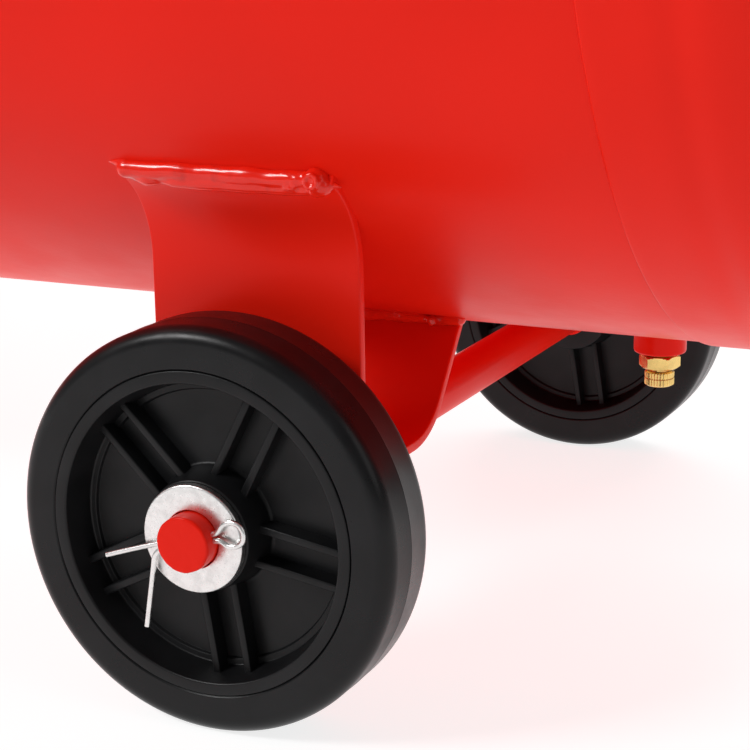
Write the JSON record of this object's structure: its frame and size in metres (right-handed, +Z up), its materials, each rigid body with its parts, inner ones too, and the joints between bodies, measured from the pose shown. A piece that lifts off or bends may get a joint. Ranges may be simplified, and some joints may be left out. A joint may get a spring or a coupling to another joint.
{
  "type": "air compressor",
  "caption": "Wheeled belt-drive air compressor: long red pressure tank on bent steel brackets, rubber-tyred wheels, V pump, motor, belt guard, pressure switch, gauges and handle.",
  "frame": {"origin": "middle of the footprint box, on the floor that the wheels and rubber feet stand on", "axes": "+X along the tank towards its wheel end, +Y towards the belt guard, +Z up"},
  "size_m": [1.3526, 0.4804, 0.9443],
  "materials": {
    "red_paint": "satin powder coat",
    "black_plastic": "moulded, satin",
    "tyre_rubber": "moulded, satin",
    "rubber": "matt",
    "zinc_steel": "bright zinc plate",
    "machined_steel": "machined",
    "brass": "machined",
    "copper": "drawn tube",
    "cast_iron": "black paint on casting",
    "cast_aluminium": "sand cast",
    "black_paint": "satin",
    "grey_paint": "satin",
    "gauge_face": "printed dial",
    "sight_glass": "clear",
    "red_plastic": "moulded",
    "filter_plastic": "moulded"
  },
  "bodies": {
    "compressor": {"tank_shell": "red_paint", "wheel_end_head": "red_paint", "handle_end_head": "red_paint", "wheel_brackets": "red_paint", "weld_beads": "red_paint", "axle_bar": "red_paint", "axle_washers": "zinc_steel", "split_pins": "zinc_steel", "tank_bosses": "red_paint", "inspection_plugs": "zinc_steel", "drain_valve_body": "brass", "foot_bracket": "red_paint", "rubber_feet": "rubber", "handle_bar": "red_paint", "handle_grip": "rubber", "platform": "red_paint", "crankcase": "cast_iron", "crankcase_cover": "cast_iron", "crank_bearings": "machined_steel", "cylinders": "cast_iron", "valve_plates": "machined_steel", "cylinder_heads": "cast_aluminium", "pistons": "cast_aluminium", "connecting_rods": "cast_aluminium", "air_filters": "filter_plastic", "oil_sight_glass": "sight_glass", "oil_filler_cap": "red_plastic", "hex_bolts": "zinc_steel", "motor_frame": "grey_paint", "motor_end_shields": "grey_paint", "motor_stator": "machined_steel", "fan_cover": "grey_paint", "terminal_box": "black_plastic", "v_belt": "rubber", "guard_back_plate": "black_paint", "guard_cover": "black_paint", "copper_pipes": "copper", "check_valve": "brass", "manifold": "brass", "pressure_switch": "black_plastic", "safety_valve": "brass", "pressure_gauges": "black_paint", "regulator_body": "cast_aluminium", "ball_valve_body": "brass"},
    "crank": {"crankshaft": "machined_steel", "flywheel": "cast_iron"},
    "motor_shaft": {"motor_rotor": "machined_steel", "motor_pulley": "cast_iron", "motor_fan": "black_plastic"},
    "near_wheel": {"near_tyre": "tyre_rubber", "near_wheel_hub": "black_plastic"},
    "far_wheel": {"far_tyre": "tyre_rubber", "far_wheel_hub": "black_plastic"},
    "drain_knob": {"drain_valve_knob": "brass"},
    "switch_button": {"pressure_switch_knob": "red_plastic"},
    "safety_ring": {"safety_valve_ring": "zinc_steel"},
    "tank_needle": {"tank_gauge_needle": "red_plastic"},
    "outlet_needle": {"outlet_gauge_needle": "red_plastic"},
    "regulator_handwheel": {"regulator_knob": "black_plastic"},
    "outlet_lever": {"ball_valve_lever": "red_paint"}
  },
  "joints": [
    {"name": "crank_spin", "type": "hinge", "parent": "compressor", "child": "crank", "pos_m": [-0.11135, 0, 0.75], "axis": [0, 1, 0], "continuous": true},
    {"name": "motor_spin", "type": "hinge", "parent": "compressor", "child": "motor_shaft", "pos_m": [0.23365, 0, 0.722], "axis": [0, 1, 0], "continuous": true},
    {"name": "near_wheel_spin", "type": "hinge", "parent": "compressor", "child": "near_wheel", "pos_m": [0.36315, -0.1935, 0.075], "axis": [0, 1, 0], "continuous": true},
    {"name": "far_wheel_spin", "type": "hinge", "parent": "compressor", "child": "far_wheel", "pos_m": [0.36315, 0.1935, 0.075], "axis": [0, 1, 0], "continuous": true},
    {"name": "drain_knob_turn", "type": "hinge", "parent": "compressor", "child": "drain_knob", "pos_m": [0.46515, 0, 0.092], "axis": [0, 0, -1], "range_deg": [0, 720]},
    {"name": "switch_button_pull", "type": "slide", "parent": "compressor", "child": "switch_button", "axis": [0, 0, 1], "range_m": [0, 0.006]},
    {"name": "safety_ring_pull", "type": "slide", "parent": "compressor", "child": "safety_ring", "axis": [-1, 0, 0], "range_m": [0, 0.004], "stiffness_N_per_m": 600, "springref_m": -0.001},
    {"name": "tank_needle_turn", "type": "hinge", "parent": "compressor", "child": "tank_needle", "pos_m": [-0.41235, -0.048, 0.655], "axis": [0, 1, 0], "range_deg": [0, 270]},
    {"name": "outlet_needle_turn", "type": "hinge", "parent": "compressor", "child": "outlet_needle", "pos_m": [-0.34435, -0.111, 0.655], "axis": [0, 1, 0], "range_deg": [0, 270]},
    {"name": "regulator_knob_turn", "type": "hinge", "parent": "compressor", "child": "regulator_handwheel", "pos_m": [-0.34435, -0.059, 0.7], "axis": [0, 0, 1], "range_deg": [0, 720]},
    {"name": "outlet_lever_turn", "type": "hinge", "parent": "compressor", "child": "outlet_lever", "pos_m": [-0.29905, -0.059, 0.672], "axis": [0, 0, 1], "range_deg": [-90, 0]}
  ],
  "couplings": [
    {"joint": "motor_spin", "follows": "crank_spin", "ratio": 3.1765}
  ]
}
